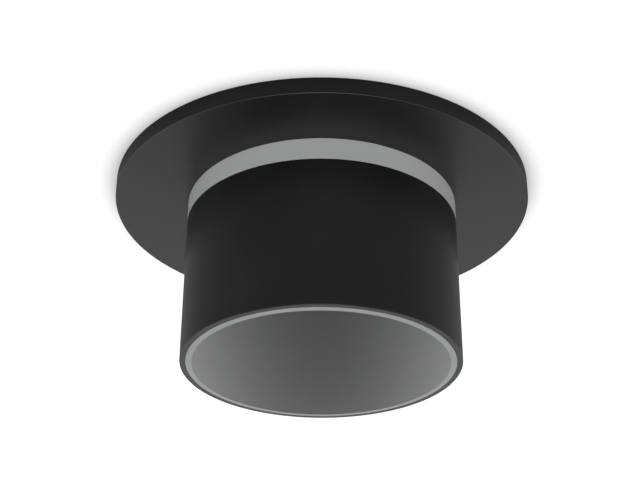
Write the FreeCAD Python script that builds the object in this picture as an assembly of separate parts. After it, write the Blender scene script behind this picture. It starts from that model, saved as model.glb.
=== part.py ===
"""Semi-recessed soffit downlight with a glowing collar, modelled as its separate pieces.

Millimetres, +Z up. The origin is the centre of the round plate's back face, which lies against the
soffit. The plate, the glowing collar and the lamp tube hang below it; the finned can, with the driver,
the cable gland and two sprung clips, stands in the roof space above it. The +X clip is the right one.
"""
import FreeCAD
import Part

import math
import os

V = FreeCAD.Vector

# ---- driving sizes of what shows below the soffit ----
tube_od = 100.0            # lamp tube
tube_wall = 4.0
tube_length = 55.1
rim_wall = 2.0             # the thin rim left round the lens
web_thickness = 4.0        # closed top of the tube
glow_height = 8.2          # visible height of the glowing collar
glow_wall = 3.0
plate_od = 153.8           # round cover plate
plate_thickness = 6.0
plate_edge_break = 0.15    # chamfer round the plate's face
gasket_inset = 6.5         # foam gasket in the plate's back, this far outside the can
gasket_width = 7.0
gasket_depth = 2.0
lens_thickness = 4.0
lens_bevel_width = 2.2
lens_bevel_drop = 0.2      # the bevel runs this far below the rim
lens_dome = 1.4            # crown of the lens below its bevel
edge_break = 0.2           # small chamfer on turned edges

# ---- clearances and seats ----
slip = 0.1                 # radial clearance of turned spigots
hinge_clearance = 0.08
stop_gap = 0.28            # clip arm above its stop at rest
seal_thickness = 1.0
seal_width = 1.8
glow_seat = 1.0            # depth the collar sits in the plate
can_seat = 1.0             # depth the can sits in the plate

# ---- core that carries both light sources ----
light_gap = 10.0           # from the collar's outside in to the core
boss_margin = 4.0          # metal between the core's boss and the tie screws
core_boss_drop = 5.0       # below the top of the tube
spigot_height = 1.5        # raised ring on the tube's web that centres the collar
spigot_wall = 2.0
tie_screw_inset = 6.0      # in from the core's outside
tie_screw_radius = 2.0
tie_screw_angles = (90, 210, 330)
lead_hole_inset = 7.0
lead_hole_radius = 4.0

# ---- light sources ----
led_board_size = 24.0
led_board_thickness = 1.0
thermal_pad_thickness = 0.3
phosphor_radius = 9.0
phosphor_thickness = 0.6
holder_radius = 24.0
holder_height = 5.0
holder_window = 12.0
holder_flare = 2.0         # the window widens this much towards the reflector
holder_screw_x = 18.5
holder_screw_sink = 2.2    # the heads lie this deep in the holder
holder_screw_length = 7.0
small_screw_radius = 1.5
screw_head_ratio = 1.8     # head radius over shank radius
screw_head_rise = 1.4      # head height over shank radius
screw_socket_ratio = 1.6   # width of the hexagon socket over shank radius
screw_socket_floor = 0.4   # share of the head left below the socket
reflector_wall = 1.0
glow_led_count = 24
glow_strip_thickness = 0.4
glow_strip_height = 5.0
glow_led_size = 3.0
glow_led_thickness = 0.7

# ---- can in the roof space ----
can_height = 58.0          # rim of the can above the soffit face
can_radius = 48.0
can_wall = 2.5
can_floor = 7.0
fin_reach = 8.0            # fins beyond the wall
base_reach = 2.0           # round base beyond the fins
base_lip = 0.5             # register beyond the base
base_lip_top = 0.2
fin_thickness = 1.6
fin_top = 50.0
fin_step_degrees = 7.5
can_screw_reach = 5.0      # beyond the wall
can_screw_radius = 1.5
can_screw_floor = 0.3      # metal left between these screws and the collar's seal
can_screw_angles = (30, 150, 210, 330)
lid_thickness = 3.0
lid_spigot = 2.0
lid_overhang = 2.5
lid_ear_reach = 3.5        # beyond the wall
lid_ear_radius = 4.0
lid_screw_angles = (60, 120, 240, 300)
lid_screw_radius = 1.5
lid_screw_bite = 9.0
lid_edge = 0.8             # chamfer round the lid
clip_clear_degrees = 14.0  # no fin this near a clip's middle
screw_clear_degrees = 6.0  # no fin this near a screw
fin_sink = 0.5             # how far cast-on features run into the base
fin_corner = 8.0
pad_margin = 2.0           # flat above the bracket

# ---- driver and terminals ----
driver_length = 62.0
driver_width = 40.0
driver_height = 23.0
driver_ear = 7.0
driver_ear_thickness = 2.5
driver_corner = 2.5
driver_screw_bite = 6.0
standoff_height = 8.0
standoff_radius = 3.5
terminal_pitch = 9.0
terminal_poles = 3
terminal_depth = 16.0
terminal_height = 11.0
terminal_y = -6.0
terminal_step = 2.5        # base beyond the barrels
terminal_gap = 1.4         # between barrels
terminal_well_radius = 2.0
terminal_wire_radius = 1.6
terminal_screw_height = 2.4
terminal_slot = 0.7

# ---- cable gland ----
gland_y = 22.0
gland_thread_radius = 8.0
gland_hex_flats = 22.0
gland_hex_height = 5.0
gland_neck_height = 9.0
gland_neck_radius = 8.6
gland_bore = 5.0
gland_seal_radius = 6.6
gland_seal_depth = 7.0
gland_cap_lift = 1.0
gland_cap_wall = 1.6
gland_cap_mouth = 1.2      # cap's opening beyond the cable
gland_dome_height = 5.0
gland_stem_past = 2.0      # stem below the locknut
cable_radius = 3.5
locknut_height = 4.0

# ---- clips ----
pad_stand = 1.0            # flat on the can that each bracket is screwed to, beyond the wall
pad_half_width = 12.0
bracket_metal = 1.2
bracket_half_width = 9.8
bracket_below_pin = 20.0
bracket_above_pin = 8.0
pin_z = 30.0
pin_radius = 1.5
pin_head_radius = 2.4
pin_head_thickness = 0.8
ear_reach = 3.4            # bracket ears beyond the pin
arm_metal = 1.0
arm_side_gap = 0.6         # between the arm's sides and the bracket's ears
arm_length = 38.5
arm_drop_degrees = 30.0    # slope of the arm below level, against its stop
spring_seat_gap = 0.3      # spring leg above the arm it presses
spring_back_gap = 0.5      # coil in front of the bracket
arm_knuckle_radius = 3.0
foot_radius = 2.0
spring_wire_radius = 0.5
spring_coil_radius = 2.3
spring_turns = 3
spring_half_length = 3.0
spring_leg = 17.0
spring_tail = 6.0
bracket_screw_y = 5.5
bracket_screw_drop = 15.0  # below the pin
bracket_screw_bite = 3.0
ear_drop = 6.0
stop_reach = 5.0
stop_half_width = 5.0
arm_side_length = 22.0
arm_side_end = 0.6
arm_side_rise = 1.8        # arm's sides above the pin's axis

# ---- levels that follow ----
tube_radius = tube_od / 2
core_radius = tube_radius - light_gap
tie_screw_circle = core_radius - tie_screw_inset
core_boss_radius = tie_screw_circle - tie_screw_radius - boss_margin
lead_hole_y = lead_hole_inset - core_radius
plate_radius = plate_od / 2
plate_face = -plate_thickness
tube_top = plate_face - glow_height
tube_rim = tube_top - tube_length
tube_bore = tube_radius - tube_wall
rim_bore = tube_radius - rim_wall
web_face = tube_top - web_thickness
spigot_top = tube_top + spigot_height
glow_bore = tube_radius - glow_wall
core_top = -can_seat
boss_face = tube_top - core_boss_drop
lens_back = tube_rim + lens_thickness
lens_seat = lens_back + seal_thickness
can_floor_top = core_top + can_floor
can_bore = can_radius - can_wall
fin_tip_radius = can_radius + fin_reach
spigot_radius = fin_tip_radius + base_reach
base_lip_radius = spigot_radius + base_lip
can_screw_circle = can_radius + can_screw_reach
lid_ear_circle = can_radius + lid_ear_reach
gasket_inner = base_lip_radius + gasket_inset
gasket_outer = gasket_inner + gasket_width
can_screw_bite = plate_thickness - can_seat - glow_seat - seal_thickness - can_screw_floor
seal_mid = tube_radius - glow_wall / 2
lid_top = can_height + lid_thickness
standoff_top = can_floor_top + standoff_height
driver_top = standoff_top + driver_height
driver_hole_x = driver_length / 2 + driver_ear / 2
holder_screw_seat = boss_face - holder_height + holder_screw_sink
arm_depth = spring_coil_radius + spring_wire_radius + spring_seat_gap + arm_metal
arm_half_width = bracket_half_width - bracket_metal - arm_side_gap
pad_x = can_radius + pad_stand
pin_x = pad_x + bracket_metal + spring_back_gap + spring_wire_radius + spring_coil_radius
bracket_bottom = pin_z - bracket_below_pin
bracket_top = pin_z + bracket_above_pin
bracket_screw_z = pin_z - bracket_screw_drop
pad_top = bracket_top + pad_margin


# ---- shared shapes ----
def turned(*path):
    """Solid of revolution about Z. A step is an (r, z) point, or a pair of them: an arc's middle and end."""
    edges = []
    last = path[0]
    for step in path[1:] + (path[0],):
        a = V(last[0], 0, last[1])
        if isinstance(step[0], tuple):
            middle, end = step
            edges.append(Part.Arc(a, V(middle[0], 0, middle[1]), V(end[0], 0, end[1])).toShape())
            last = end
        else:
            b = V(step[0], 0, step[1])
            if a.distanceToPoint(b) > 1e-7:
                edges.append(Part.LineSegment(a, b).toShape())
            last = step
    face = Part.Face(Part.Wire(edges))
    return face.revolve(V(0, 0, 0), V(0, 0, 1), 360)


def ring(inner, outer, bottom, top):
    return turned((inner, bottom), (outer, bottom), (outer, top), (inner, top))


def rod(radius, bottom, top, x=0.0, y=0.0):
    return Part.makeCylinder(radius, top - bottom, V(x, y, bottom))


def block(x0, x1, y0, y1, z0, z1):
    return Part.makeBox(x1 - x0, y1 - y0, z1 - z0, V(x0, y0, z0))


def extruded(points, thickness, direction):
    """Prism on a closed outline of points, grown along direction."""
    face = Part.Face(Part.makePolygon([V(*p) for p in points] + [V(*points[0])]))
    return face.extrude(V(*direction) * thickness)


def hexagon(across_flats, bottom, top, x=0.0, y=0.0):
    corner = across_flats / math.sqrt(3)
    points = []
    for k in range(6):
        a = math.radians(60 * k)
        points.append((x + corner * math.cos(a), y + corner * math.sin(a), bottom))
    return extruded(points, top - bottom, (0, 0, 1))


def on_circle(radius, degrees):
    a = math.radians(degrees)
    return radius * math.cos(a), radius * math.sin(a)


def turned_about_z(shape, degrees):
    copy = shape.copy()
    copy.rotate(V(0, 0, 0), V(0, 0, 1), degrees)
    return copy


def fused(shapes):
    shapes = list(shapes)
    return shapes[0].multiFuse(shapes[1:]).removeSplitter()


def socket_screw(shank_radius, length, seat, direction):
    """Cap screw with a hexagon socket: its head sits at seat and its shank runs along direction."""
    head_radius = screw_head_ratio * shank_radius
    head_height = screw_head_rise * shank_radius
    head = rod(head_radius, 0, head_height)
    socket = hexagon(screw_socket_ratio * shank_radius, screw_socket_floor * head_height, head_height)
    screw = head.cut(socket).fuse(rod(shank_radius, -length, 0)).removeSplitter()
    turn = FreeCAD.Rotation(V(0, 0, -1), V(*direction))
    screw.Placement = FreeCAD.Placement(V(*seat), turn)
    return screw


# ---- plate, collar and tube ----
def make_plate():
    """Cast cover plate, with seats for the collar below it, the can and the soffit gasket above it."""
    bore = core_radius + slip
    collar_seat = tube_radius + slip
    can_recess = base_lip_radius + slip
    body = turned(
        (bore, plate_face + glow_seat),
        (collar_seat, plate_face + glow_seat),
        (collar_seat, plate_face),
        (plate_radius - plate_edge_break, plate_face),
        (plate_radius, plate_face + plate_edge_break),
        (plate_radius, 0),
        (can_recess, 0),
        (can_recess, -can_seat),
        (bore, -can_seat),
    )
    cuts = [ring(gasket_inner - slip, gasket_outer + slip, -gasket_depth, 0)]
    cuts.append(make_upper_seal())
    for angle in can_screw_angles:
        x, y = on_circle(can_screw_circle, angle)
        cuts.append(rod(can_screw_radius, -can_screw_bite - can_seat, 0, x, y))
    return body.cut(Part.makeCompound(cuts))


def make_glow_collar():
    return ring(glow_bore, tube_radius, tube_top, plate_face + glow_seat)


def make_upper_seal():
    floor = plate_face + glow_seat
    return ring(seal_mid - seal_width / 2, seal_mid + seal_width / 2, floor, floor + seal_thickness)


def make_lower_seal():
    half = seal_width / 2
    return ring(seal_mid - half, seal_mid + half, tube_top - seal_thickness, tube_top)


def make_tube():
    """Turned lamp tube: a closed top, a thick wall, and a thin rim that holds the lens."""
    boss_hole = core_boss_radius + slip
    body = turned(
        (boss_hole, web_face),
        (tube_bore, web_face),
        (tube_bore, lens_seat),
        (rim_bore, lens_seat),
        (rim_bore, tube_rim),
        (tube_radius - edge_break, tube_rim),
        (tube_radius, tube_rim + edge_break),
        (tube_radius, tube_top),
        (glow_bore - slip, tube_top),
        (glow_bore - slip, spigot_top),
        (glow_bore - slip - spigot_wall, spigot_top),
        (glow_bore - slip - spigot_wall, tube_top),
        (boss_hole, tube_top),
    )
    cuts = [make_lower_seal(), rod(lead_hole_radius, web_face, tube_top, 0, lead_hole_y)]
    for angle in tie_screw_angles:
        x, y = on_circle(tie_screw_circle, angle)
        cuts.append(rod(tie_screw_radius, web_face, tube_top, x, y))
    return body.cut(Part.makeCompound(cuts))


def make_lens():
    """Opal lens with a shallow bevel at its edge and a slight crown."""
    edge = rim_bore - slip
    face_radius = rim_bore - lens_bevel_width
    face = tube_rim - lens_bevel_drop
    sphere = (face_radius ** 2 + lens_dome ** 2) / (2 * lens_dome)
    half = face_radius / 2
    half_drop = math.sqrt(sphere ** 2 - half ** 2) - (sphere - lens_dome)
    return turned(
        (0, lens_back),
        (edge, lens_back),
        (edge, tube_rim),
        (face_radius, face),
        ((half, face - half_drop), (0, face - lens_dome)),
    )


def make_lens_seal():
    return ring(tube_bore + slip, rim_bore - slip, lens_back, lens_seat)


# ---- core and light sources ----
def make_core():
    """Core that spreads the heat: the collar's lamps wrap it and the main lamp lies on its boss."""
    body = turned(
        (0, boss_face),
        (core_boss_radius, boss_face),
        (core_boss_radius, tube_top),
        (core_radius, tube_top),
        (core_radius, core_top),
        (0, core_top),
    )
    cuts = [rod(lead_hole_radius, tube_top, core_top, 0, lead_hole_y)]
    for angle in tie_screw_angles:
        x, y = on_circle(tie_screw_circle, angle)
        cuts.append(rod(tie_screw_radius + slip, tube_top, core_top, x, y))
    for x in (-holder_screw_x, holder_screw_x):
        cuts.append(rod(small_screw_radius, boss_face, holder_screw_seat + holder_screw_length + slip, x, 0))
    return body.cut(Part.makeCompound(cuts))


def make_tie_screws():
    reach = can_floor_top - web_face
    screws = []
    for angle in tie_screw_angles:
        x, y = on_circle(tie_screw_circle, angle)
        screws.append(socket_screw(tie_screw_radius, reach, (x, y, can_floor_top), (0, 0, -1)))
    return Part.makeCompound(screws)


def make_thermal_pad():
    half = led_board_size / 2
    return block(-half, half, -half, half, boss_face - thermal_pad_thickness, boss_face)


def make_led_board():
    half = led_board_size / 2
    top = boss_face - thermal_pad_thickness
    return block(-half, half, -half, half, top - led_board_thickness, top)


def make_phosphor():
    top = boss_face - thermal_pad_thickness - led_board_thickness
    return rod(phosphor_radius, top - phosphor_thickness, top)


def make_led_holder():
    """Round holder that clamps the lamp board to the core, open in the middle for the light."""
    half = led_board_size / 2 + slip
    recess_depth = thermal_pad_thickness + led_board_thickness
    body = ring(holder_window - holder_flare, holder_radius, boss_face - holder_height, boss_face)
    flare = Part.makeCone(
        holder_window,
        holder_window - holder_flare,
        holder_height - recess_depth,
        V(0, 0, boss_face - holder_height),
    )
    cuts = [flare, block(-half, half, -half, half, boss_face - recess_depth, boss_face)]
    head_radius = screw_head_ratio * small_screw_radius + slip
    for x in (-holder_screw_x, holder_screw_x):
        cuts.append(rod(small_screw_radius + slip, holder_screw_seat, boss_face, x, 0))
        cuts.append(rod(head_radius, boss_face - holder_height, holder_screw_seat, x, 0))
    return body.cut(Part.makeCompound(cuts))


def make_holder_screws():
    screws = []
    for x in (-holder_screw_x, holder_screw_x):
        seat = (x, 0, holder_screw_seat)
        screws.append(socket_screw(small_screw_radius, holder_screw_length, seat, (0, 0, 1)))
    return Part.makeCompound(screws)


def make_reflector():
    """Spun cone between the holder and the lens, with a flat turned lip at each end."""
    top = boss_face - holder_height
    inner = holder_window
    outer = tube_bore - slip
    w = reflector_wall
    return turned(
        (inner, top),
        (inner + w, top),
        (inner + w, top - w),
        (outer - 2 * w, lens_back + w),
        (outer, lens_back + w),
        (outer, lens_back),
        (outer - 3 * w, lens_back),
        (inner, top - 2 * w),
    )


def make_glow_strip():
    middle = (plate_face + tube_top) / 2
    half = glow_strip_height / 2
    return ring(core_radius, core_radius + glow_strip_thickness, middle - half, middle + half)


def make_glow_leds():
    """Small lamps in a row round the strip, each cut to lie flat on the strip's curve."""
    middle = (plate_face + tube_top) / 2
    half = glow_led_size / 2
    strip_face = core_radius + glow_strip_thickness
    far = strip_face + glow_led_thickness
    led = block(strip_face - glow_led_thickness, far, -half, half, middle - half, middle + half)
    led = led.cut(rod(strip_face, middle - glow_led_size, middle + glow_led_size))
    leds = []
    for k in range(glow_led_count):
        leds.append(turned_about_z(led, 360 * (k + 0.5) / glow_led_count))
    return Part.makeCompound(leds)


def make_soffit_gasket():
    return ring(gasket_inner, gasket_outer, -gasket_depth, 0)


# ---- finned can ----
def fin_angles():
    """Fins stand all round, with gaps at the clips, the screws and the lid's pillars."""
    angles = []
    step = 0
    while step * fin_step_degrees < 360 - 1e-6:
        angle = step * fin_step_degrees
        step += 1
        beside_clip = min(angle % 180, 180 - angle % 180) < clip_clear_degrees
        blocked = [s for s in can_screw_angles + lid_screw_angles if abs(angle - s) < screw_clear_degrees]
        if not beside_clip and not blocked:
            angles.append(angle)
    return angles


def make_fin():
    """Tapering fin whose outer corner is cut back."""
    root = can_radius - can_wall / 2
    outline = [
        (root, 0, can_floor_top - fin_sink),
        (fin_tip_radius, 0, can_floor_top - fin_sink),
        (fin_tip_radius, 0, fin_top - fin_corner),
        (fin_tip_radius - fin_corner / 2, 0, fin_top),
        (root, 0, fin_top),
    ]
    fin = extruded(outline, fin_thickness, (0, 1, 0))
    fin.translate(V(0, -fin_thickness / 2, 0))
    return fin


def make_can():
    """Die-cast can: a thick base with a register, a finned wall, clip pads, lid pillars and driver posts."""
    shell = turned(
        (0, core_top),
        (base_lip_radius, core_top),
        (base_lip_radius, base_lip_top),
        (spigot_radius, base_lip_top + base_lip_radius - spigot_radius),
        (spigot_radius, can_floor_top - edge_break),
        (spigot_radius - edge_break, can_floor_top),
        (can_radius, can_floor_top),
        (can_radius, can_height),
        (can_bore + seal_width, can_height),
        (can_bore + seal_width, can_height - seal_thickness),
        (can_bore, can_height - seal_thickness),
        (can_bore, can_floor_top),
        (0, can_floor_top),
    )
    adds = []
    fin = make_fin()
    for angle in fin_angles():
        adds.append(turned_about_z(fin, angle))
    pad = block(can_bore - can_wall, pad_x, -pad_half_width, pad_half_width,
                can_floor_top - fin_sink, pad_top)
    for angle in (0, 180):
        adds.append(turned_about_z(pad.cut(rod(can_bore, -1, can_height)), angle))
    for angle in lid_screw_angles:
        x, y = on_circle(lid_ear_circle, angle)
        pillar = rod(lid_ear_radius, can_floor_top - fin_sink, can_height, x, y)
        adds.append(pillar.cut(rod(can_radius - can_wall / 2, 0, can_height + 1)))
    for x in (-driver_hole_x, driver_hole_x):
        adds.append(rod(standoff_radius, can_floor_top - fin_sink, standoff_top, x, 0))
    body = fused([shell] + adds)

    cuts = [rod(lead_hole_radius, core_top, can_floor_top, 0, lead_hole_y)]
    for angle in tie_screw_angles:
        x, y = on_circle(tie_screw_circle, angle)
        cuts.append(rod(tie_screw_radius + slip, core_top, can_floor_top, x, y))
    for angle in can_screw_angles:
        x, y = on_circle(can_screw_circle, angle)
        cuts.append(rod(can_screw_radius + slip, core_top, can_floor_top, x, y))
    for angle in lid_screw_angles:
        x, y = on_circle(lid_ear_circle, angle)
        cuts.append(rod(lid_screw_radius, can_height - lid_screw_bite, can_height, x, y))
    for x in (-driver_hole_x, driver_hole_x):
        cuts.append(rod(small_screw_radius, standoff_top - driver_screw_bite, standoff_top, x, 0))
    for side in (0, 180):
        for y in (-bracket_screw_y, bracket_screw_y):
            hole = Part.makeCylinder(small_screw_radius, bracket_screw_bite,
                                     V(pad_x, y, bracket_screw_z), V(-1, 0, 0))
            cuts.append(turned_about_z(hole, side))
    return body.cut(Part.makeCompound(cuts))


def make_can_screws():
    screws = []
    for angle in can_screw_angles:
        x, y = on_circle(can_screw_circle, angle)
        length = can_floor + can_screw_bite
        screws.append(socket_screw(can_screw_radius, length, (x, y, can_floor_top), (0, 0, -1)))
    return Part.makeCompound(screws)


# ---- lid ----
def make_lid():
    """Cast lid with a locating spigot, four screw ears and the tapped hole of the cable gland."""
    rim = can_radius + lid_overhang
    disc = turned(
        (0, can_height),
        (rim, can_height),
        (rim, lid_top - lid_edge),
        (rim - lid_edge, lid_top),
        (0, lid_top),
    )
    spigot = ring(can_bore - slip - can_wall, can_bore - slip, can_height - lid_spigot, can_height)
    adds = [spigot]
    for angle in lid_screw_angles:
        x, y = on_circle(lid_ear_circle, angle)
        adds.append(rod(lid_ear_radius, can_height, lid_top, x, y))
    cuts = [rod(gland_thread_radius + slip, can_height, lid_top, 0, gland_y)]
    for angle in lid_screw_angles:
        x, y = on_circle(lid_ear_circle, angle)
        cuts.append(rod(lid_screw_radius + slip, can_height, lid_top, x, y))
    return fused([disc] + adds).cut(Part.makeCompound(cuts))


def make_lid_seal():
    return ring(can_bore + slip, can_bore + seal_width - slip, can_height - seal_thickness, can_height)


def make_lid_screws():
    screws = []
    for angle in lid_screw_angles:
        x, y = on_circle(lid_ear_circle, angle)
        length = lid_thickness + lid_screw_bite
        screws.append(socket_screw(lid_screw_radius, length, (x, y, lid_top), (0, 0, -1)))
    return Part.makeCompound(screws)


# ---- driver and terminals ----
def make_driver():
    """Potted driver in a plastic case, screwed to two posts by the ears at its ends."""
    half_length = driver_length / 2
    half_width = driver_width / 2
    case = block(-half_length, half_length, -half_width, half_width, standoff_top, driver_top)
    uprights = []
    for edge in case.Edges:
        run = edge.Vertexes[-1].Point - edge.Vertexes[0].Point
        if math.hypot(run.x, run.y) < 1e-6:
            uprights.append(edge)
    case = case.makeFillet(driver_corner, uprights)
    ear = block(-half_length - driver_ear, half_length + driver_ear, -standoff_radius, standoff_radius,
                standoff_top, standoff_top + driver_ear_thickness)
    holes = []
    for x in (-driver_hole_x, driver_hole_x):
        holes.append(rod(small_screw_radius + slip, standoff_top, standoff_top + driver_ear_thickness, x, 0))
    return case.fuse(ear).removeSplitter().cut(Part.makeCompound(holes))


def make_driver_screws():
    screws = []
    for x in (-driver_hole_x, driver_hole_x):
        seat = (x, 0, standoff_top + driver_ear_thickness)
        length = driver_ear_thickness + driver_screw_bite - slip
        screws.append(socket_screw(small_screw_radius, length, seat, (0, 0, -1)))
    return Part.makeCompound(screws)


def make_terminal_block():
    """Three-pole terminal block: a row of barrels with wire holes through and screw wells on top."""
    width = terminal_poles * terminal_pitch
    base = block(-width / 2, width / 2, terminal_y - terminal_depth / 2, terminal_y + terminal_depth / 2,
                 driver_top, driver_top + terminal_height / 2)
    top = driver_top + terminal_height
    barrel_y = terminal_depth / 2 - terminal_step
    half = terminal_pitch / 2 - terminal_gap / 2
    wire_z = driver_top + terminal_height / 3
    barrels = []
    wells = []
    for k in range(terminal_poles):
        x = (k - (terminal_poles - 1) / 2) * terminal_pitch
        barrels.append(block(x - half, x + half, terminal_y - barrel_y, terminal_y + barrel_y,
                             driver_top, top))
        wells.append(rod(terminal_well_radius, driver_top + terminal_height / 2, top, x, terminal_y))
        start = V(x, terminal_y - terminal_depth / 2, wire_z)
        wells.append(Part.makeCylinder(terminal_wire_radius, terminal_depth, start, V(0, 1, 0)))
    return fused([base] + barrels).cut(Part.makeCompound(wells))


def make_terminal_screws():
    screws = []
    for k in range(terminal_poles):
        x = (k - (terminal_poles - 1) / 2) * terminal_pitch
        bottom = driver_top + terminal_height / 2
        screw = rod(terminal_well_radius - slip, bottom, bottom + terminal_screw_height, x, terminal_y)
        slot = block(x - terminal_well_radius, x + terminal_well_radius,
                     terminal_y - terminal_slot / 2, terminal_y + terminal_slot / 2,
                     bottom + terminal_screw_height / 2, bottom + terminal_screw_height)
        screws.append(screw.cut(slot))
    return Part.makeCompound(screws)


# ---- cable gland ----
def make_gland_body():
    """Gland body: a threaded stem through the lid, a hexagon on it and a neck for the cap."""
    top = lid_top + gland_hex_height
    stem_bottom = can_height - locknut_height - gland_stem_past
    solid = fused([
        rod(gland_thread_radius, stem_bottom, lid_top, 0, gland_y),
        hexagon(gland_hex_flats, lid_top, top, 0, gland_y),
        rod(gland_neck_radius, top, top + gland_neck_height, 0, gland_y),
    ])
    neck_top = top + gland_neck_height
    bore = rod(gland_bore, stem_bottom, neck_top - gland_seal_depth, 0, gland_y)
    seat = rod(gland_seal_radius, neck_top - gland_seal_depth, neck_top, 0, gland_y)
    return solid.cut(bore).cut(seat)


def make_gland_seal():
    """Rubber bush that grips the cable when the cap is tightened."""
    top = lid_top + gland_hex_height + gland_neck_height
    bush = rod(gland_seal_radius - slip, top - gland_seal_depth, top, 0, gland_y)
    return bush.cut(rod(cable_radius, top - gland_seal_depth, top, 0, gland_y))


def make_gland_cap():
    """Domed hexagon cap over the neck, open for the cable."""
    bottom = lid_top + gland_hex_height + gland_cap_lift
    top = lid_top + gland_hex_height + gland_neck_height + gland_cap_wall
    corner = gland_hex_flats / math.sqrt(3)
    shoulder = top - gland_dome_height
    body = hexagon(gland_hex_flats, bottom, top, 0, gland_y)
    dome = Part.makeCone(corner, gland_neck_radius + slip, gland_dome_height, V(0, gland_y, shoulder))
    body = body.common(rod(corner, bottom, shoulder, 0, gland_y).fuse(dome).removeSplitter())
    hollow = rod(gland_neck_radius + slip, bottom, top - gland_cap_wall, 0, gland_y)
    return body.cut(hollow).cut(rod(cable_radius + gland_cap_mouth, bottom, top, 0, gland_y))


def make_gland_locknut():
    top = can_height
    nut = hexagon(gland_hex_flats, top - locknut_height, top, 0, gland_y)
    return nut.cut(rod(gland_thread_radius + slip, top - locknut_height, top, 0, gland_y))


# ---- clips: modelled for the right side, at +X ----
def along_arm(distance, depth):
    """Point at a distance along the arm and a depth below the pin's axis, in the plane of the clip."""
    a = math.radians(-arm_drop_degrees)
    x = pin_x + distance * math.cos(a) + depth * math.sin(a)
    z = pin_z + distance * math.sin(a) - depth * math.cos(a)
    return x, z


def across_clip(points, y0, y1):
    """Prism on an outline in the clip's plane, from y0 to y1."""
    return extruded([(x, y0, z) for x, z in points], y1 - y0, (0, 1, 0))


def pin_rod(radius, y0, y1):
    return Part.makeCylinder(radius, y1 - y0, V(pin_x, y0, pin_z), V(0, 1, 0))


def make_bracket():
    """Folded steel bracket: a back plate, two ears for the pin and a stop tongue under the arm."""
    back_face = pad_x + bracket_metal
    w = bracket_half_width
    back = block(pad_x, back_face, -w, w, bracket_bottom, bracket_top)
    ear_outline = [
        (pad_x, pin_z - ear_drop),
        (pin_x + ear_reach, pin_z - ear_reach),
        (pin_x + ear_reach, pin_z + ear_reach),
        (back_face, bracket_top),
        (pad_x, bracket_top),
    ]
    adds = [across_clip(ear_outline, -w, -w + bracket_metal), across_clip(ear_outline, w - bracket_metal, w)]
    near = arm_depth + stop_gap
    far = near + bracket_metal
    root = (pad_x + bracket_metal / 2 - pin_x) / math.cos(math.radians(arm_drop_degrees))
    tongue = [
        along_arm(root + math.tan(math.radians(arm_drop_degrees)) * near, near),
        along_arm(stop_reach, near),
        along_arm(stop_reach, far),
        along_arm(root + math.tan(math.radians(arm_drop_degrees)) * far, far),
    ]
    adds.append(across_clip(tongue, -stop_half_width, stop_half_width))
    cuts = [pin_rod(pin_radius, -w, w)]
    for y in (-bracket_screw_y, bracket_screw_y):
        cuts.append(Part.makeCylinder(small_screw_radius + slip, bracket_metal,
                                      V(pad_x, y, bracket_screw_z), V(1, 0, 0)))
    return fused([back] + adds).cut(Part.makeCompound(cuts))


def make_pin():
    """Headed pin, peened at its far end against the other ear."""
    w = bracket_half_width
    t = pin_head_thickness
    heads = [pin_rod(pin_head_radius, -w - t, -w), pin_rod(pin_head_radius, w, w + t)]
    return fused([pin_rod(pin_radius, -w, w)] + heads)


def make_arm():
    """Sprung arm: a folded channel that turns on the pin, with a rolled foot that bears on the board."""
    w = arm_half_width
    foot_x = arm_length - foot_radius
    web = across_clip(
        [
            along_arm(0, arm_depth - arm_metal),
            along_arm(foot_x, arm_depth - arm_metal),
            along_arm(foot_x, arm_depth),
            along_arm(0, arm_depth),
        ],
        -w, w,
    )
    side_outline = [
        along_arm(0, arm_depth),
        along_arm(arm_side_length, arm_depth),
        along_arm(arm_side_length, arm_depth - arm_metal - arm_side_end),
        along_arm(arm_knuckle_radius, -arm_side_rise),
        along_arm(0, -arm_side_rise),
    ]
    adds = []
    for y in (-w, w - arm_metal):
        side = across_clip(side_outline, y, y + arm_metal)
        adds.append(side)
        adds.append(pin_rod(arm_knuckle_radius, y, y + arm_metal))
    axis_x, axis_z = along_arm(foot_x, arm_depth - foot_radius)
    outer = Part.makeCylinder(foot_radius, 2 * w, V(axis_x, -w, axis_z), V(0, 1, 0))
    inner = Part.makeCylinder(foot_radius - arm_metal, 2 * w, V(axis_x, -w, axis_z), V(0, 1, 0))
    beyond = across_clip(
        [
            along_arm(foot_x, -foot_radius),
            along_arm(foot_x + 2 * foot_radius, -foot_radius),
            along_arm(foot_x + 2 * foot_radius, arm_depth + foot_radius),
            along_arm(foot_x, arm_depth + foot_radius),
        ],
        -w, w,
    )
    adds.append(outer.cut(inner).common(beyond))
    return fused([web] + adds).cut(pin_rod(pin_radius + hinge_clearance, -w, w))


def arc_from(start, tangent, end):
    """Arc that leaves start along tangent and passes through end."""
    chord = end - start
    along = tangent.dot(chord) / chord.Length
    bulge = tangent - chord * (along / chord.Length)
    sagitta = chord.Length / 2 * math.tan(math.acos(along) / 2)
    middle = (start + end) * 0.5 + bulge * (sagitta / bulge.Length)
    return Part.Arc(start, middle, end).toShape()


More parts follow.
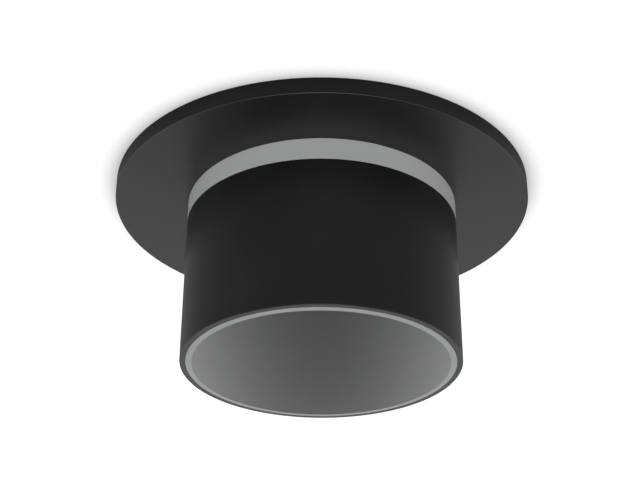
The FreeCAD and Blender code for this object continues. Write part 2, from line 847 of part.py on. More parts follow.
def make_spring():
    """Torsion spring round the pin: one wire, with a tail up the bracket and a leg out along the arm."""
    start = math.pi
    end = 1.5 * math.pi - math.radians(arm_drop_degrees) + 2 * math.pi * spring_turns
    rise = 2 * spring_half_length / (end - start)

    def place(turn):
        x = pin_x + spring_coil_radius * math.cos(turn)
        z = pin_z + spring_coil_radius * math.sin(turn)
        return V(x, rise * (turn - start) - spring_half_length, z)

    def heading(turn):
        return V(-spring_coil_radius * math.sin(turn), rise, spring_coil_radius * math.cos(turn)).normalize()

    tail_end = place(start) - heading(start) * spring_tail
    leg_end = place(end) + heading(end) * spring_leg
    edges = [Part.LineSegment(tail_end, place(start)).toShape()]
    steps = round((end - start) / (math.pi / 2))
    for k in range(steps):
        a = start + (end - start) * k / steps
        b = start + (end - start) * (k + 1) / steps
        gap = place(b) - place(a)
        sum_dot = gap.dot(heading(a) + heading(b))
        turn_dot = 2 * (1 - heading(a).dot(heading(b)))
        reach = (math.sqrt(sum_dot ** 2 + turn_dot * gap.dot(gap)) - sum_dot) / turn_dot
        joint = (place(a) + place(b) + (heading(a) - heading(b)) * reach) * 0.5
        edges.append(arc_from(place(a), heading(a), joint))
        edges.append(arc_from(place(b), heading(b) * -1, joint))
    edges.append(Part.LineSegment(place(end), leg_end).toShape())
    print_spring_gap(place, start, end)

    pipe = Part.BRepOffsetAPI.MakePipeShell(Part.Wire(Part.__sortEdges__(edges)))
    pipe.add(Part.Wire([Part.Circle(tail_end, heading(start), spring_wire_radius).toShape()]))
    pipe.build()
    pipe.makeSolid()
    return pipe.shape()


def print_spring_gap(place, start, end):
    """Least gap between the wire's turns, measured on points along it."""
    count = 400
    turns = [start + (end - start) * k / count for k in range(count + 1)]
    points = [place(turn) for turn in turns]
    least = min(
        points[i].distanceToPoint(points[j])
        for i in range(count)
        for j in range(i + 1, count + 1)
        if turns[j] - turns[i] > math.pi
    )
    print("spring: least gap between turns %.2f mm" % (least - 2 * spring_wire_radius))


def make_bracket_screws():
    screws = []
    for side in (0, 180):
        for y in (-bracket_screw_y, bracket_screw_y):
            seat = (pad_x + bracket_metal, y, bracket_screw_z)
            length = bracket_metal + bracket_screw_bite
            screws.append(turned_about_z(socket_screw(small_screw_radius, length, seat, (-1, 0, 0)), side))
    return Part.makeCompound(screws)


# ---- every piece, by name ----
pieces = {
    "cover_plate": make_plate(),
    "soffit_gasket": make_soffit_gasket(),
    "glow_collar": make_glow_collar(),
    "collar_upper_seal": make_upper_seal(),
    "collar_lower_seal": make_lower_seal(),
    "lamp_tube": make_tube(),
    "front_lens": make_lens(),
    "lens_seal": make_lens_seal(),
    "reflector": make_reflector(),
    "heat_core": make_core(),
    "tie_screws": make_tie_screws(),
    "thermal_pad": make_thermal_pad(),
    "led_board": make_led_board(),
    "led_phosphor": make_phosphor(),
    "led_holder": make_led_holder(),
    "holder_screws": make_holder_screws(),
    "glow_strip": make_glow_strip(),
    "glow_leds": make_glow_leds(),
    "finned_can": make_can(),
    "can_screws": make_can_screws(),
    "can_lid": make_lid(),
    "lid_seal": make_lid_seal(),
    "lid_screws": make_lid_screws(),
    "driver": make_driver(),
    "driver_screws": make_driver_screws(),
    "terminal_block": make_terminal_block(),
    "terminal_screws": make_terminal_screws(),
    "gland_body": make_gland_body(),
    "gland_seal": make_gland_seal(),
    "gland_cap": make_gland_cap(),
    "gland_locknut": make_gland_locknut(),
    "bracket_screws": make_bracket_screws(),
}
clip_pieces = {
    "clip_bracket": make_bracket(),
    "clip_pin": make_pin(),
    "clip_arm": make_arm(),
    "clip_spring": make_spring(),
}
for name, shape in clip_pieces.items():
    pieces[name + "_right"] = shape
    pieces[name + "_left"] = turned_about_z(shape, 180)

os.makedirs("parts", exist_ok=True)
for name, shape in pieces.items():
    shape.exportStep("parts/" + name + ".step")
    print("%-20s %2d solids %10.1f mm3 valid %s" % (name, len(shape.Solids), shape.Volume, shape.isValid()))
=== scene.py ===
"""Looks of a semi-recessed soffit downlight with a glowing collar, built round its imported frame.

Metres, +Z up, origin at the centre of the cover plate's back face. The plate, collar and tube hang below
the soffit; the finned can and its sprung clips stand above it. The sections follow the lamp from the
soffit downwards, then through its inside, then up into the roof space.
"""
import math

import bpy
from mathutils import Matrix, Vector


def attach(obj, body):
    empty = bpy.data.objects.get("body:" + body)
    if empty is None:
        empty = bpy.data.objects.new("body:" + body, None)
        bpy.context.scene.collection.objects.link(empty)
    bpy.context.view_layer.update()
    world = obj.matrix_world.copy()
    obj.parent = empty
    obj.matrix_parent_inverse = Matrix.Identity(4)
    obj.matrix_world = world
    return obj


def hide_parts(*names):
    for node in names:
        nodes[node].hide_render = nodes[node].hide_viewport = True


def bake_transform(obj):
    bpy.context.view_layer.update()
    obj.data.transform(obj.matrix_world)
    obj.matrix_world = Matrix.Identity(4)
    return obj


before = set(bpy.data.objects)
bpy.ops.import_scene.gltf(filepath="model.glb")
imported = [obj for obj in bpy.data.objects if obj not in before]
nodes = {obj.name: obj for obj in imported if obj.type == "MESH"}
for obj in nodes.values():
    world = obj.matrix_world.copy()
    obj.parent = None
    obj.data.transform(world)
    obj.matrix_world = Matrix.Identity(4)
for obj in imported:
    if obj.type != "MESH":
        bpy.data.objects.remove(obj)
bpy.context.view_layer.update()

scene = bpy.context.scene
scene.view_settings.view_transform = "Standard"
MM = 0.001


# ---------------------------------------------------------------------------------------------------------
# Viewpoint: a long lens a little below the soffit, looking up at 28 degrees. Its place and focal length
# come from the outlines of the plate, the collar and the tube.
# ---------------------------------------------------------------------------------------------------------
eye = Vector((0.0, -428.5, -254.8)) * MM
look_yaw = -0.0014
look_pitch = 0.4976
look_roll = 0.0042
sensor_width = 36.0
focal_length = 74.04

ahead = Vector((
    math.sin(look_yaw) * math.cos(look_pitch),
    math.cos(look_yaw) * math.cos(look_pitch),
    math.sin(look_pitch),
))
level_right = ahead.cross(Vector((0, 0, 1))).normalized()
level_up = level_right.cross(ahead)
right = level_right * math.cos(look_roll) + level_up * math.sin(look_roll)
up = level_up * math.cos(look_roll) - level_right * math.sin(look_roll)

camera = bpy.data.objects.new("camera", bpy.data.cameras.new("camera"))
camera.data.sensor_width = sensor_width
camera.data.lens = focal_length
camera.data.clip_start = 0.01
camera.data.clip_end = 50
camera.matrix_world = Matrix((
    (right.x, up.x, -ahead.x, eye.x),
    (right.y, up.y, -ahead.y, eye.y),
    (right.z, up.z, -ahead.z, eye.z),
    (0, 0, 0, 1),
))
scene.collection.objects.link(camera)
scene.camera = camera


# ---------------------------------------------------------------------------------------------------------
# Soffit, floor and light: a white soffit with the lamp's cut-out, a pale floor far below, and soft light
# from three sides. The soffit is clear from above, so that the can in the roof space shows.
# ---------------------------------------------------------------------------------------------------------
soffit_radius = 1.6
soffit_lift = 0.0002
cut_out_radius = 62.5 * MM
soffit_steps = 96
floor_level = -2.5
floor_half = 8.0
contact_reach = 0.03
contact_power = 1.15
contact_samples = 16
stage_paint = 0.8
soffit_white = 1.16
soffit_to_gloss = 0.33


class Signal:
    """One output in a node tree. Operators on it add Math nodes, and node() adds a node of any other kind."""

    def __init__(self, tree, socket=None):
        self.tree = tree
        self.socket = socket

    def node(self, kind, settings=None, out=0, **inputs):
        """Adds a node: first its settings, then its sockets by name, or as i0, i1 ... by place."""
        added = self.tree.nodes.new(kind)
        for name, value in (settings or {}).items():
            setattr(added, name, value)
        for name, value in inputs.items():
            by_place = name[0] == "i" and name[1:].isdigit()
            socket = added.inputs[int(name[1:]) if by_place else name.replace("_", " ")]
            for item in value if isinstance(value, list) else [value]:
                if isinstance(item, Signal):
                    self.tree.links.new(item.socket, socket)
                else:
                    socket.default_value = item
        return Signal(self.tree, added.outputs[out])

    def calc(self, operation, first, second=0.0):
        return self.node("ShaderNodeMath", {"operation": operation}, 0, i0=first, i1=second)

    def __add__(self, other):
        return self.calc("ADD", self, other)

    def __sub__(self, other):
        return self.calc("SUBTRACT", self, other)

    def __rsub__(self, other):
        return self.calc("SUBTRACT", other, self)

    def __mul__(self, other):
        return self.calc("MULTIPLY", self, other)

    def __truediv__(self, other):
        return self.calc("DIVIDE", self, other)

    def __pow__(self, other):
        return self.calc("POWER", self, other)

    __radd__ = __add__
    __rmul__ = __mul__

    def output(self, place):
        """Another output of the same node."""
        return Signal(self.tree, self.socket.node.outputs[place])

    def step(self, low, high):
        """0 below low, 1 above high and smooth between."""
        settings = {"interpolation_type": "SMOOTHSTEP"}
        return self.node("ShaderNodeMapRange", settings, 0, Value=self, From_Min=low, From_Max=high)

    def around(self, middle, spread):
        """Varies by the spread about a middle value, where this output runs from 0 to 1."""
        return self * spread + (middle - spread / 2)

    def wave(self, pitch):
        """Sine that repeats once in each pitch."""
        return self.calc("SINE", self * (2 * math.pi / pitch))

    def noise(self, scale, detail=3.0, roughness=0.5):
        return self.node("ShaderNodeTexNoise", None, 0, Vector=self, Scale=scale, Detail=detail,
                         Roughness=roughness)

    def drawn_out(self, turn, scale):
        """Coordinates turned, then scaled apart along each axis."""
        turned = self.node("ShaderNodeMapping", None, 0, Vector=self, Rotation=turn)
        return self.node("ShaderNodeMapping", None, 0, Vector=turned, Scale=scale)

    def between(self, first, second):
        """Colour between two, or between links, by this factor."""
        return self.node("ShaderNodeMix", {"data_type": "RGBA"}, 2, i0=self, i6=first, i7=second)

    def bump(self, distance, strength=0.5):
        return self.node("ShaderNodeBump", None, 0, Height=self, Distance=distance, Strength=strength)


def grey(level, warmth=0.0):
    """A grey colour; a positive warmth moves it towards yellow, a negative one towards blue."""
    return (level * (1 + warmth), level, level * (1 - warmth), 1.0)


def new_material(name):
    """Empty node material, with its Object coordinates to start from."""
    material = bpy.data.materials.new(name)
    material.use_nodes = True
    material.node_tree.nodes.clear()
    return material, Signal(material.node_tree).node("ShaderNodeTexCoord", None, 3)


def show(shader, kind="ShaderNodeOutputMaterial"):
    """Links the last node of a tree to its output."""
    output = shader.tree.nodes.new(kind)
    shader.tree.links.new(shader.socket, output.inputs[0])


def drawn_mesh(name, points, edges=(), faces=()):
    mesh = bpy.data.meshes.new(name)
    mesh.from_pydata(points, edges, faces)
    return mesh


def into_scene(name, data):
    thing = bpy.data.objects.new(name, data)
    scene.collection.objects.link(thing)
    return thing


points = []
for k in range(soffit_steps):
    a = 2 * math.pi * k / soffit_steps
    for radius in (cut_out_radius, soffit_radius):
        points.append((radius * math.cos(a), radius * math.sin(a), soffit_lift))
faces = []
for k in range(soffit_steps):
    m = (k + 1) % soffit_steps
    faces.append((2 * k, 2 * m, 2 * m + 1, 2 * k + 1))
soffit = into_scene("soffit", drawn_mesh("soffit", points, faces=faces))

# Painted contact shadow: the soffit's glow to the camera, and its glow in reflections, is darkened near the
# plate by an ambient-occlusion node.
material, coords = new_material("soffit_white")
contact_shadow_ao = coords.node("ShaderNodeAmbientOcclusion", {"samples": contact_samples}, 1, Distance=contact_reach)
seen = coords.node("ShaderNodeLightPath")
seen_in_gloss = seen.output(3)
glow = coords.node("ShaderNodeEmission", Strength=contact_shadow_ao ** contact_power * soffit_white)
gloss_glow = coords.node("ShaderNodeEmission", Strength=contact_shadow_ao * soffit_to_gloss)
paint = coords.node("ShaderNodeBsdfDiffuse", Color=grey(stage_paint))
lit = coords.node("ShaderNodeMixShader", i0=seen_in_gloss, i1=paint, i2=gloss_glow)
lit = coords.node("ShaderNodeMixShader", i0=seen, i1=lit, i2=glow)
from_above = coords.node("ShaderNodeNewGeometry", None, 6)
clear = coords.node("ShaderNodeBsdfTransparent")
show(coords.node("ShaderNodeMixShader", i0=from_above, i1=lit, i2=clear))
soffit.data.materials.append(material)

corners = [(-1, -1), (1, -1), (1, 1), (-1, 1)]
points = [(x * floor_half, y * floor_half, floor_level) for x, y in corners]
floor = into_scene("floor", drawn_mesh("floor", points, faces=[(0, 1, 2, 3)]))
material, coords = new_material("floor_pale")
seen = coords.node("ShaderNodeLightPath")
glow = coords.node("ShaderNodeEmission", Strength=1.0)
paint = coords.node("ShaderNodeBsdfDiffuse", Color=grey(stage_paint))
show(coords.node("ShaderNodeMixShader", i0=seen, i1=paint, i2=glow))
floor.data.materials.append(material)

scene.world = bpy.data.worlds.new("studio")
scene.world.use_nodes = True
scene.world.node_tree.nodes.clear()
show(Signal(scene.world.node_tree).node("ShaderNodeBackground", Color=grey(1.0)), "ShaderNodeOutputWorld")


light_size = 1.0
tube_middle = Vector((0, 0, -0.04))


def soft_light(name, place, watts):
    """Square soft light that faces the lamp tube's middle."""
    light = bpy.data.lights.new(name, "AREA")
    light.shape = "SQUARE"
    light.size = light_size
    light.energy = watts
    holder = into_scene(name, light)
    holder.location = place
    aim = tube_middle - Vector(place)
    holder.rotation_euler = aim.to_track_quat("-Z", "Y").to_euler()


soft_light("light_left", (-1.3, 0.1, -0.75), 3.5)
soft_light("light_right", (1.3, 0.1, -0.75), 3.0)
soft_light("light_front", (0.0, -1.1, -1.0), 8.0)
soft_light("light_above", (0.3, -0.7, 1.3), 9.0)


# ---------------------------------------------------------------------------------------------------------
# Cover plate and lamp tube: a cast plate and a turned tube, both aluminium, in one fine-texture black
# powder coat. The coat's grain is a fraction of a millimetre.
# ---------------------------------------------------------------------------------------------------------
coat_black = grey(0.0025, -0.03)
coat_dusty = grey(0.0045, -0.03)
coat_grain_scale = 1700.0
coat_cloud_scale = 35.0
coat_grain_height = 0.04 * MM
coat_roughness = 0.38
coat_gloss_level = 0.42


def dress(node_names, material):
    """Gives CAD pieces a finish."""
    for name in node_names:
        piece = nodes[name]
        piece.data.materials.clear()
        piece.data.materials.append(material)


coat, coords = new_material("powder_coat_black")
grain = coords.noise(coat_grain_scale, 2.0, 0.6)
cloud = coords.noise(coat_cloud_scale)
show(coords.node(
    "ShaderNodeBsdfPrincipled",
    Base_Color=cloud.step(0.35, 0.7).between(coat_black, coat_dusty),
    Roughness=cloud.around(coat_roughness, 0.08) + grain.around(0, 0.06),
    Specular_IOR_Level=coat_gloss_level,
    Normal=grain.bump(coat_grain_height),
))
dress(["cover_plate", "lamp_tube"], coat)


# ---------------------------------------------------------------------------------------------------------
# Glowing collar: a square-cut opal ring, clamped between the plate and the tube with a seal at each end.
# Its colour is painted palest near the plate, a painted glow for the light that comes through there, and it
# has the fine marks of its turning.
# ---------------------------------------------------------------------------------------------------------
opal_painted_glow = grey(0.410, -0.008)
opal_less_glow = grey(0.350, -0.008)
opal_top = -6.0 * MM
opal_bottom = -14.2 * MM
opal_roughness = 0.38
turning_pitch = 0.25 * MM
turning_depth = 0.01 * MM

opal, coords = new_material("opal_collar")
height = coords.node("ShaderNodeSeparateXYZ", None, 2, Vector=coords)
grain = coords.noise(1400.0, 2.0, 0.5)
cloud = coords.noise(60.0)
# Painted glow: the colour is paler towards the plate, for light coming through the opal; a fifth of the mix
# is random mottle.
painted_glow_and_mottle = height.step(opal_bottom, opal_top) * 0.8 + cloud * 0.2
show(coords.node(
    "ShaderNodeBsdfPrincipled",
    Base_Color=painted_glow_and_mottle.between(opal_less_glow, opal_painted_glow),
    Roughness=grain.around(opal_roughness, 0.1),
    Normal=(grain + height.wave(turning_pitch) * 0.3).bump(turning_depth, 0.4),
))
dress(["glow_collar"], opal)


# ---------------------------------------------------------------------------------------------------------
# Lens: toughened glass, frosted on the face and ground to a shallow bevel. The bevel is paler, and the
# face has painted light at the left and right and painted shade in the middle, for the reflector behind the
# frosting.
# ---------------------------------------------------------------------------------------------------------
lens_painted_shade = grey(0.025, -0.015)
lens_painted_light = grey(0.165, -0.015)
lens_bevel = grey(0.250, -0.01)
lens_face_radius = 45.8 * MM
bevel_blend = 0.15 * MM
lens_roughness = 0.42
lens_gloss_level = 0.25
frosting_height = 0.02 * MM

frosting, coords = new_material("frosted_lens")
x = coords.node("ShaderNodeSeparateXYZ", Vector=coords)
y = x.output(1)
radius = (x * x + y * y) ** 0.5
grain = coords.noise(900.0, 3.0, 0.6)
cloud = coords.noise(40.0, 2.0)
# Painted light and shade: the face is lighter towards the left and right and dark in the middle, with a
# little random mottle.
painted_side_light = (x * x) / lens_face_radius ** 2
face = (painted_side_light + cloud.around(0, 0.06)).between(lens_painted_shade, lens_painted_light)
bevel = radius.step(lens_face_radius - bevel_blend, lens_face_radius + bevel_blend)
show(coords.node(
    "ShaderNodeBsdfPrincipled",
    Base_Color=bevel.between(face, lens_bevel),
    Roughness=grain.around(lens_roughness, 0.08),
    Specular_IOR_Level=lens_gloss_level,
    Normal=grain.bump(frosting_height),
))
dress(["front_lens"], frosting)


# ---------------------------------------------------------------------------------------------------------
# Soffit gasket and seals: the gasket is closed-cell foam, pressed flush with the plate's back; the seals
# are moulded silicone, grey at the collar so that they don't show, and black at the lens, lid and gland.
# ---------------------------------------------------------------------------------------------------------
def plain_finish(name, colour, second, roughness, metallic=0.0, grain_height=0.01 * MM):
    """Mottled finish with a fine grain, for pieces with nothing else to show."""
    material, coords = new_material(name)
    cloud = coords.noise(70.0)
    grain = coords.noise(900.0, 3.0, 0.6)
    show(coords.node(
        "ShaderNodeBsdfPrincipled",
        Base_Color=cloud.step(0.3, 0.7).between(colour, second),
        Metallic=metallic,
        Roughness=cloud.around(roughness, 0.1) + grain.around(0, 0.08),
        Normal=grain.bump(grain_height),
    ))
    return material


pore_scale = 1300.0
pore_depth = 0.25 * MM
foam, coords = new_material("foam_black")
pores = coords.node("ShaderNodeTexVoronoi", Vector=coords, Scale=pore_scale)
cloud = coords.noise(120.0)
show(coords.node(
    "ShaderNodeBsdfPrincipled",
    Base_Color=(pores * 1.4).between(grey(0.008), grey(0.032)),
    Roughness=cloud * 0.1 + 0.82,
    Normal=pores.bump(pore_depth, 0.8),
))
dress(["soffit_gasket"], foam)
silicone_grey = plain_finish("silicone_grey", grey(0.45), grey(0.50), 0.55)
dress(["collar_upper_seal", "collar_lower_seal"], silicone_grey)
silicone_black = plain_finish("silicone_black", grey(0.020), grey(0.030), 0.50)
dress(["lens_seal", "lid_seal", "gland_seal"], silicone_black)


# ---------------------------------------------------------------------------------------------------------
# Reflector: a spun aluminium cone, bright inside, with the rings that the spinning roller leaves. It
# stands between the lamp's holder and the lens.
# ---------------------------------------------------------------------------------------------------------
roller_pitch = 0.8 * MM
roller_depth = 0.01 * MM
spun, coords = new_material("spun_aluminium")
roller = coords.node("ShaderNodeSeparateXYZ", None, 2, Vector=coords).wave(roller_pitch)
cloud = coords.noise(60.0)
show(coords.node(
    "ShaderNodeBsdfPrincipled",
    Base_Color=cloud.between(grey(0.84, -0.01), grey(0.90, -0.01)),
    Metallic=1.0,
    Roughness=cloud * 0.08 + roller * 0.02 + 0.18,
    Normal=roller.bump(roller_depth, 0.3),
))
dress(["reflector"], spun)


# ---------------------------------------------------------------------------------------------------------
# Main lamp: a white-masked aluminium board with its round phosphor, on a grey thermal pad, under a white
# moulded holder that two screws pull against the core.
# ---------------------------------------------------------------------------------------------------------
board = plain_finish("board_white", grey(0.80), grey(0.85), 0.40)
dress(["led_board", "glow_strip"], board)
phosphor = plain_finish("phosphor", (0.80, 0.62, 0.12, 1), (0.85, 0.68, 0.18, 1), 0.50)
dress(["led_phosphor", "glow_leds"], phosphor)
thermal = plain_finish("pad_grey", grey(0.30, -0.05), grey(0.35, -0.05), 0.70)
dress(["thermal_pad"], thermal)
moulded_white = plain_finish("holder_white", grey(0.80), grey(0.84), 0.45)
dress(["led_holder"], moulded_white)


# ---------------------------------------------------------------------------------------------------------
# Finned can, lid and core: die-cast aluminium, left bare. The skin has a fine pebble, cold-flow clouds
# and small pits; the two flats for the clips are milled, with the lines of the cutter across them.
# ---------------------------------------------------------------------------------------------------------
cast_dark = grey(0.46, -0.012)
cast_light = grey(0.60, -0.008)
flat_bright = grey(0.70)
flat_near = 48.9 * MM
flat_far = 49.1 * MM
flat_half = 12.1 * MM
milled_pitch = 0.6 * MM
pebble_height = 0.09 * MM

cast, coords = new_material("cast_aluminium")
x = coords.node("ShaderNodeSeparateXYZ", Vector=coords)
y = x.output(1)
z = x.output(2)
grain = coords.noise(1100.0, 3.0, 0.6)
pits = coords.noise(2600.0, 2.0, 0.6).step(0.62, 0.75)
cloud = coords.noise(45.0, 5.0, 0.6)
out = x.calc("ABSOLUTE", x)
aside = y.calc("ABSOLUTE", y)
flat = out.calc("GREATER_THAN", out, flat_near) * out.calc("LESS_THAN", out, flat_far)
flat = flat * aside.calc("LESS_THAN", aside, flat_half)
cutter = (z + y * 0.2).wave(milled_pitch)
show(coords.node(
    "ShaderNodeBsdfPrincipled",
    Base_Color=flat.between(cloud.step(0.35, 0.65).between(cast_dark, cast_light), flat_bright),
    Metallic=1.0,
    Roughness=(cloud * 0.16 + grain * 0.10 + 0.36) * (1 - flat * 0.4),
    Normal=((grain - pits * 0.6) * (1 - flat) + cutter * flat * 0.15).bump(pebble_height, 0.6),
))
dress(["finned_can", "can_lid", "heat_core"], cast)


# ---------------------------------------------------------------------------------------------------------
# Driver and terminals: a potted driver in a white moulded case, screwed down by its two feet, and on top
# of it a three-pole block with brass screws.
# ---------------------------------------------------------------------------------------------------------
case = plain_finish("driver_case", grey(0.75), grey(0.80), 0.45, 0.0, 0.02 * MM)
dress(["driver"], case)
polyamide = plain_finish("terminal_plastic", grey(0.70, 0.03), grey(0.76, 0.03), 0.45)
dress(["terminal_block"], polyamide)
brass = plain_finish("terminal_metal", (0.72, 0.56, 0.28, 1), (0.76, 0.61, 0.34, 1), 0.30, 1.0)
dress(["terminal_screws"], brass)


# ---------------------------------------------------------------------------------------------------------
# Cable gland: body, dome nut and locknut are black polyamide with a spark-eroded skin, a little shinier
# in random patches.
# ---------------------------------------------------------------------------------------------------------
nylon, coords = new_material("nylon_black")
skin = coords.noise(2200.0, 3.0, 0.7)
cloud = coords.noise(160.0)
show(coords.node(
    "ShaderNodeBsdfPrincipled",
    Base_Color=cloud.step(0.3, 0.7).between(grey(0.012), grey(0.020)),
    Roughness=cloud * 0.18 + skin * 0.10 + 0.30,
    Normal=skin.bump(0.05 * MM, 0.6),
))
dress(["gland_body", "gland_cap", "gland_locknut"], nylon)


# ---------------------------------------------------------------------------------------------------------
# Screws: stainless cap screws with a knurled head and a hexagon socket, cold-headed. One tree makes them
# all: it stands a screw on each seat, with its head along the direction kept at that point.
# ---------------------------------------------------------------------------------------------------------
head_ratio = 1.8
head_rise = 1.4
socket_ratio = 1.6
socket_floor = 0.4
knurl_depth = 0.035
knurl_count = 28
shank_sides = 24
main_shank = 2.0
small_shank = 1.5
tie_circle = 34.0
can_circle = 53.0
lid_circle = 51.5
driver_circle = 34.5
holder_circle = 18.5
can_floor_top = 6.0
lid_top = 61.0
driver_foot_top = 16.5
holder_underside = -22.0
bracket_face = 50.2
bracket_screw_aside = 5.5
bracket_screw_z = 15.0


def new_shape_tree(name, **sizes):
    """Geometry Nodes tree with one named input for each size. Returns it with its inputs by name."""
    tree = bpy.data.node_groups.new(name, "GeometryNodeTree")
    tree.interface.new_socket("Geometry", in_out="INPUT", socket_type="NodeSocketGeometry")
    for label, kind in sizes.items():
        tree.interface.new_socket(label.replace("_", " "), in_out="INPUT", socket_type="NodeSocket" + kind)
    tree.interface.new_socket("Geometry", in_out="OUTPUT", socket_type="NodeSocketGeometry")
    group_input = tree.nodes.new("NodeGroupInput")
    return tree, {socket.name: Signal(tree, socket) for socket in group_input.outputs if socket.name}


def grow(name, base_mesh, tree, **values):
    """Runs a shape tree on a base mesh and keeps the result as a plain mesh."""
    source = into_scene(name + "_source", base_mesh)
    modifier = source.modifiers.new("shape", "NODES")
    modifier.node_group = tree
    for item in tree.interface.items_tree:
        label = item.name.replace(" ", "_")
        if item.in_out == "INPUT" and label in values:
            modifier[item.identifier] = values[label]
    depsgraph = bpy.context.evaluated_depsgraph_get()
    mesh = bpy.data.meshes.new_from_object(source.evaluated_get(depsgraph), depsgraph=depsgraph)
    bpy.data.objects.remove(source)
    return into_scene(name, mesh)


screw_tree, given = new_shape_tree(
    "socket_screws", Head_Radius="Float", Head_Height="Float", Socket_Width="Float", Socket_Floor="Float",
    Shank_Radius="Float", Length="Float", Knurls="Int", Material="Material")
seats = given["Geometry"]
outline = seats.node("GeometryNodeCurveStar", Points=given["Knurls"], Outer_Radius=given["Head Radius"],
                     Inner_Radius=given["Head Radius"] * (1 - knurl_depth))
hexagon = seats.node("GeometryNodeCurvePrimitiveCircle", Resolution=6,
                     Radius=given["Socket Width"] / math.sqrt(3))
both = seats.node("GeometryNodeJoinGeometry", Geometry=[outline, hexagon])
lower = seats.node("GeometryNodeFillCurve", Curve=outline)
lower_solid = seats.node("GeometryNodeExtrudeMesh", Mesh=lower, Offset_Scale=given["Socket Floor"],
                         Individual=False)
upper = seats.node("GeometryNodeFillCurve", Curve=both)
upper_solid = seats.node("GeometryNodeExtrudeMesh", Mesh=upper, Individual=False,
                         Offset_Scale=given["Head Height"] - given["Socket Floor"])
raised = seats.node("ShaderNodeCombineXYZ", Z=given["Socket Floor"])
upper_solid = seats.node("GeometryNodeTransform", Geometry=upper_solid, Translation=raised)
under = seats.node("GeometryNodeFlipFaces", Mesh=lower)
shank = seats.node("GeometryNodeMeshCylinder", Vertices=shank_sides, Radius=given["Shank Radius"],
                   Depth=given["Length"])
lowered = seats.node("ShaderNodeCombineXYZ", Z=given["Length"] * -0.5)
shank = seats.node("GeometryNodeTransform", Geometry=shank, Translation=lowered)
screw = seats.node("GeometryNodeJoinGeometry", Geometry=[lower_solid, upper_solid, under, shank])
facing = seats.node("GeometryNodeInputNamedAttribute", {"data_type": "FLOAT_VECTOR"}, Name="facing")
turn = seats.node("FunctionNodeAlignRotationToVector", {"axis": "Z"}, Vector=facing)
placed = seats.node("GeometryNodeInstanceOnPoints", Points=seats, Instance=screw, Rotation=turn)
placed = seats.node("GeometryNodeRealizeInstances", Geometry=placed)
placed = seats.node("GeometryNodeSetMaterial", Geometry=placed, Material=given["Material"])
show(placed, "NodeGroupOutput")

stainless, coords = new_material("stainless")
cloud = coords.noise(300.0)
scratches = coords.drawn_out((0.3, 0.2, 0.7), (900.0, 900.0, 5000.0)).noise(1.0, 4.0, 0.7)
show(coords.node(
    "ShaderNodeBsdfPrincipled",
    Base_Color=cloud.between(grey(0.58, 0.01), grey(0.68, 0.01)),
    Metallic=1.0,
    Roughness=cloud * 0.12 + scratches * 0.10 + 0.18,
    Normal=scratches.bump(0.008 * MM, 0.4),
))


def ring_seats(circle, height, angles, facing=(0, 0, 1)):
    """Screw seats on a circle, in millimetres, each with the way its head points."""
    seats = []
    for angle in angles:
        a = math.radians(angle)
        seats.append(((circle * math.cos(a), circle * math.sin(a), height), facing))
    return seats


def screw_set(node, seats, shank_radius, length):
    """Cap screws on their seats, in place of a CAD node. Sizes are in millimetres."""
    base = drawn_mesh(node + "_seats", [Vector(place) * MM for place, _ in seats])
    directions = base.attributes.new("facing", "FLOAT_VECTOR", "POINT")
    for item, (_, direction) in zip(directions.data, seats):
        item.vector = direction
    piece = grow(
        node + "_turned", base, screw_tree, Head_Radius=head_ratio * shank_radius * MM,
        Head_Height=head_rise * shank_radius * MM, Socket_Width=socket_ratio * shank_radius * MM,
        Socket_Floor=socket_floor * head_rise * shank_radius * MM, Shank_Radius=shank_radius * MM,
        Length=length * MM, Knurls=knurl_count, Material=stainless)
    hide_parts(node)
    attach(piece, "root")


screw_set("tie_screws", ring_seats(tie_circle, can_floor_top, (90, 210, 330)), main_shank, 24.2)
screw_set("can_screws", ring_seats(can_circle, can_floor_top, (30, 150, 210, 330)), small_shank, 9.7)
screw_set("lid_screws", ring_seats(lid_circle, lid_top, (60, 120, 240, 300)), small_shank, 12.0)
screw_set("driver_screws", ring_seats(driver_circle, driver_foot_top, (0, 180)), small_shank, 8.4)
holder_seats = ring_seats(holder_circle, holder_underside, (0, 180), facing=(0, 0, -1))
screw_set("holder_screws", holder_seats, small_shank, 7.0)
bracket_seats = []
for side in (1, -1):
    for aside in (-bracket_screw_aside, bracket_screw_aside):
        bracket_seats.append(((side * bracket_face, aside, bracket_screw_z), (side, 0, 0)))
screw_set("bracket_screws", bracket_seats, small_shank, 4.2)
dress(["clip_pin_right", "clip_pin_left"], stainless)


# ---------------------------------------------------------------------------------------------------------
# Clips: brackets and arms folded from zinc-plated sheet steel, with the lines of rolling along them and a
# faint bluish-yellow bloom from the passivation.
# ---------------------------------------------------------------------------------------------------------
arm_slope = math.radians(30.0)


def plated(name, turn):
    """Zinc plate over rolled sheet, with the rolling direction turned by an angle in the clip's plane."""
    material, coords = new_material(name)
    rolling = coords.drawn_out((0, turn, 0), (90.0, 2600.0, 2600.0)).noise(1.0, 3.0, 0.6)
    bloom = coords.noise(95.0, 4.0, 0.6)
    tint = bloom.step(0.35, 0.65).between((0.60, 0.63, 0.68, 1), (0.70, 0.68, 0.60, 1))
    spots = coords.noise(700.0, 3.0, 0.6).step(0.6, 0.72)
    show(coords.node(
        "ShaderNodeBsdfPrincipled",
        Base_Color=(spots * 0.4).between(tint, grey(0.50)),
        Metallic=1.0,
        Roughness=rolling * 0.12 + bloom * 0.12 + spots * 0.12 + 0.20,
        Normal=(rolling + spots * 0.4).bump(0.012 * MM),
    ))
    return material


dress(["clip_bracket_right", "clip_bracket_left"], plated("zinc_plate_bracket", math.pi / 2))
dress(["clip_arm_right"], plated("zinc_plate_arm_right", -arm_slope))
dress(["clip_arm_left"], plated("zinc_plate_arm_left", arm_slope))


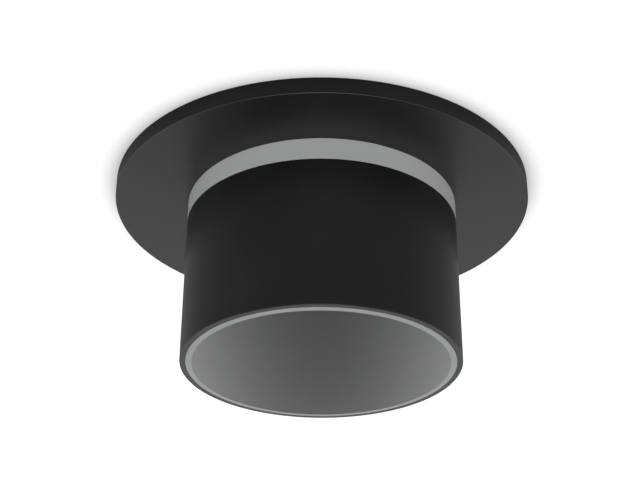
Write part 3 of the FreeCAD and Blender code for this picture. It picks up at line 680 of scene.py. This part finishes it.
# ---------------------------------------------------------------------------------------------------------
# Clip springs: each is one drawn steel wire, wound round the pin, with its tail up the bracket and its
# leg out along the arm. The coil winds up as the arm swings.
# ---------------------------------------------------------------------------------------------------------
pin_place = Vector((53.5, 0, 30.0))
coil_radius = 2.3
wire_radius = 0.5
coil_turns = 3
coil_half = 3.0
spring_tail = 6.0
spring_leg = 17.0
points_per_turn = 40
tail_steps = 6
leg_steps = 12
wire_sides = 16

wire_tree, given = new_shape_tree("wire_on_a_path", Wire_Radius="Float", Sides="Int", Material="Material")
path = given["Geometry"].node("GeometryNodeMeshToCurve", Mesh=given["Geometry"])
profile = path.node("GeometryNodeCurvePrimitiveCircle", Resolution=given["Sides"],
                    Radius=given["Wire Radius"])
wire = path.node("GeometryNodeCurveToMesh", Curve=path, Profile_Curve=profile, Fill_Caps=True)
wire = path.node("GeometryNodeRealizeInstances", Geometry=wire)
wire = path.node("GeometryNodeSetMaterial", Geometry=wire, Material=given["Material"])
show(wire, "NodeGroupOutput")

drawn, coords = new_material("spring_steel")
cloud = coords.noise(500.0)
lines = coords.noise(4000.0, 3.0, 0.7)
show(coords.node(
    "ShaderNodeBsdfPrincipled",
    Base_Color=cloud.between(grey(0.42, 0.01), grey(0.56, 0.01)),
    Metallic=1.0,
    Roughness=cloud * 0.10 + lines * 0.08 + 0.18,
    Normal=lines.bump(0.004 * MM, 0.3),
))


def coil_path():
    """Points along the right-hand spring's wire, in millimetres."""
    start = math.pi
    end = 1.5 * math.pi - arm_slope + 2 * math.pi * coil_turns
    rise = 2 * coil_half / (end - start)

    def place(turn):
        return pin_place + Vector((coil_radius * math.cos(turn), rise * (turn - start) - coil_half,
                                   coil_radius * math.sin(turn)))

    def heading(turn):
        return Vector((-coil_radius * math.sin(turn), rise, coil_radius * math.cos(turn))).normalized()

    count = round(points_per_turn * (end - start) / (2 * math.pi))
    turns = [start + (end - start) * k / count for k in range(count + 1)]
    tail = [place(start) - heading(start) * spring_tail * (1 - k / tail_steps) for k in range(tail_steps)]
    leg = [place(end) + heading(end) * spring_leg * k / leg_steps for k in range(1, leg_steps + 1)]
    return tail + [place(turn) for turn in turns] + leg


for side, sign in (("right", 1), ("left", -1)):
    points = [Vector((sign * p.x, sign * p.y, p.z)) * MM for p in coil_path()]
    base = drawn_mesh("coil_path", points, edges=[(k, k + 1) for k in range(len(points) - 1)])
    spring = grow("clip_coil_" + side, base, wire_tree, Wire_Radius=wire_radius * MM, Sides=wire_sides,
                  Material=drawn)
    spring.data.shade_smooth()
    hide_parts("clip_spring_" + side)
    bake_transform(spring)
